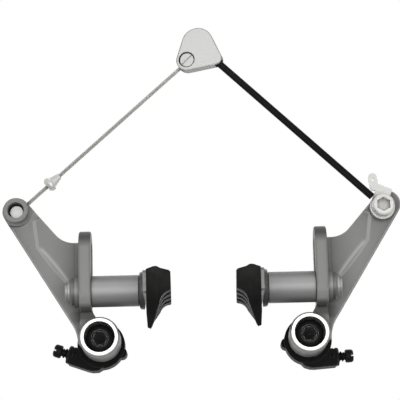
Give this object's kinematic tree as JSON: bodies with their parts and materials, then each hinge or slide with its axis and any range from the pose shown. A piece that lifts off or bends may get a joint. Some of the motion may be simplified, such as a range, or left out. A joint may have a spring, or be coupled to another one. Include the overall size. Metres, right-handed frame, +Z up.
{
  "type": "cantilever brake",
  "caption": "Cantilever rim brake: slotted arms on frame studs, height-adjustable shoes, and a link wire, link and guide hose that join the arms.",
  "frame": {"origin": "midway between the two stud axes, in the plane of the frame bosses that the bushes' rear faces meet", "axes": "+X to the viewer's right seen from the front, +Y along the studs towards the frame, +Z up"},
  "size_m": [0.1558, 0.0446, 0.1369],
  "materials": {
    "arm_metal": "satin titanium gray finish with machined barrel ends",
    "bush_steel": "turned",
    "black_bolt": "black oxide",
    "black_resin": "matte",
    "spring_steel": "drawn wire",
    "pad_rubber": "moulded",
    "stud_steel": "zinc plated",
    "washer_chrome": "polished",
    "spacer_metal": "satin turned",
    "washer_gray": "satin",
    "washer_dark": "dark satin",
    "nut_chrome": "polished",
    "wire_steel": "stranded",
    "bead_metal": "satin",
    "link_metal": "light satin",
    "hose_black": "smooth",
    "anchor_nickel": "nickel plated"
  },
  "bodies": {
    "stud_side": {"left_pivot_bush": "bush_steel", "left_fixing_bolt": "black_bolt", "left_return_spring": "spring_steel", "right_pivot_bush": "bush_steel", "right_fixing_bolt": "black_bolt", "right_return_spring": "spring_steel"},
    "left_arm": {"left_arm": "arm_metal", "left_spring_cover": "black_resin"},
    "right_arm": {"right_arm": "arm_metal", "right_spring_cover": "black_resin", "keeper_plate": "anchor_nickel", "anchor_washer": "anchor_nickel", "anchor_bolt": "anchor_nickel"},
    "link_wire": {"link_wire": "wire_steel", "wire_bead": "bead_metal", "socket_nipple": "bead_metal", "link_barrel": "link_metal"},
    "link": {"link_front_plate": "link_metal", "link_rear_plate": "link_metal"},
    "guide_hose": {"guide_hose": "hose_black"},
    "left_shoe_mount": {"left_inner_dome_washer": "washer_chrome", "left_spacer": "spacer_metal", "left_outer_cup_washer": "washer_gray", "left_outer_dome_washer": "washer_dark", "left_shoe_nut": "nut_chrome"},
    "left_shoe": {"left_shoe_rubber": "pad_rubber", "left_shoe_stud": "stud_steel"},
    "left_tension_screw": {"left_tension_screw": "black_bolt"},
    "right_shoe_mount": {"right_inner_dome_washer": "washer_chrome", "right_spacer": "spacer_metal", "right_outer_cup_washer": "washer_gray", "right_outer_dome_washer": "washer_dark", "right_shoe_nut": "nut_chrome"},
    "right_shoe": {"right_shoe_rubber": "pad_rubber", "right_shoe_stud": "stud_steel"},
    "right_tension_screw": {"right_tension_screw": "black_bolt"}
  },
  "joints": [
    {"name": "left_arm_pivot", "type": "hinge", "parent": "stud_side", "child": "left_arm", "pos_m": [-0.04, -0.012, 0], "axis": [0, 1, 0], "range_deg": [-8, 8], "stiffness_Nm_per_rad": 1.8},
    {"name": "right_arm_pivot", "type": "hinge", "parent": "stud_side", "child": "right_arm", "pos_m": [0.04, -0.012, 0], "axis": [0, -1, 0], "range_deg": [-8.5, 8.5], "stiffness_Nm_per_rad": 1.8},
    {"name": "link_wire_swing", "type": "hinge", "parent": "left_arm", "child": "link_wire", "pos_m": [-0.0725, -0.00955, 0.0514], "axis": [0, 1, 0], "range_deg": [-15, 15]},
    {"name": "link_swing", "type": "hinge", "parent": "link_wire", "child": "link", "pos_m": [-0.0042, -0.01, 0.1121], "axis": [0, 1, 0], "range_deg": [-7, 7]},
    {"name": "hose_swing", "type": "hinge", "parent": "link", "child": "guide_hose", "pos_m": [0.00803, -0.01205, 0.11055], "axis": [0, 1, 0], "range_deg": [-7.5, 7.5]},
    {"name": "left_shoe_height", "type": "slide", "parent": "left_arm", "child": "left_shoe_mount", "axis": [0, 0, 1], "range_m": [-0.0008, 0.0148]},
    {"name": "left_shoe_turn", "type": "hinge", "parent": "left_shoe_mount", "child": "left_shoe", "pos_m": [-0.03, -0.0201, 0.0177], "axis": [1, 0, 0], "range_deg": [-15, 15]},
    {"name": "left_tension_screw_turn", "type": "hinge", "parent": "left_arm", "child": "left_tension_screw", "pos_m": [-0.05389, -0.00395, -0.00368], "axis": [-0.9483, 0, 0.3173], "range_deg": [-360, 360]},
    {"name": "right_shoe_height", "type": "slide", "parent": "right_arm", "child": "right_shoe_mount", "axis": [0, 0, 1], "range_m": [-0.0008, 0.0148]},
    {"name": "right_shoe_turn", "type": "hinge", "parent": "right_shoe_mount", "child": "right_shoe", "pos_m": [0.03, -0.0201, 0.0177], "axis": [1, 0, 0], "range_deg": [-15, 15]},
    {"name": "right_tension_screw_turn", "type": "hinge", "parent": "right_arm", "child": "right_tension_screw", "pos_m": [0.0524, -0.00395, -0.00726], "axis": [0.9986, 0, 0.0523], "range_deg": [-360, 360]}
  ],
  "couplings": [
    {"joint": "right_arm_pivot", "follows": "left_arm_pivot", "ratio": 1},
    {"joint": "link_wire_swing", "follows": "left_arm_pivot", "ratio": -1.7756},
    {"joint": "link_swing", "follows": "left_arm_pivot", "ratio": 0.8033},
    {"joint": "hose_swing", "follows": "left_arm_pivot", "ratio": 0.8494}
  ]
}
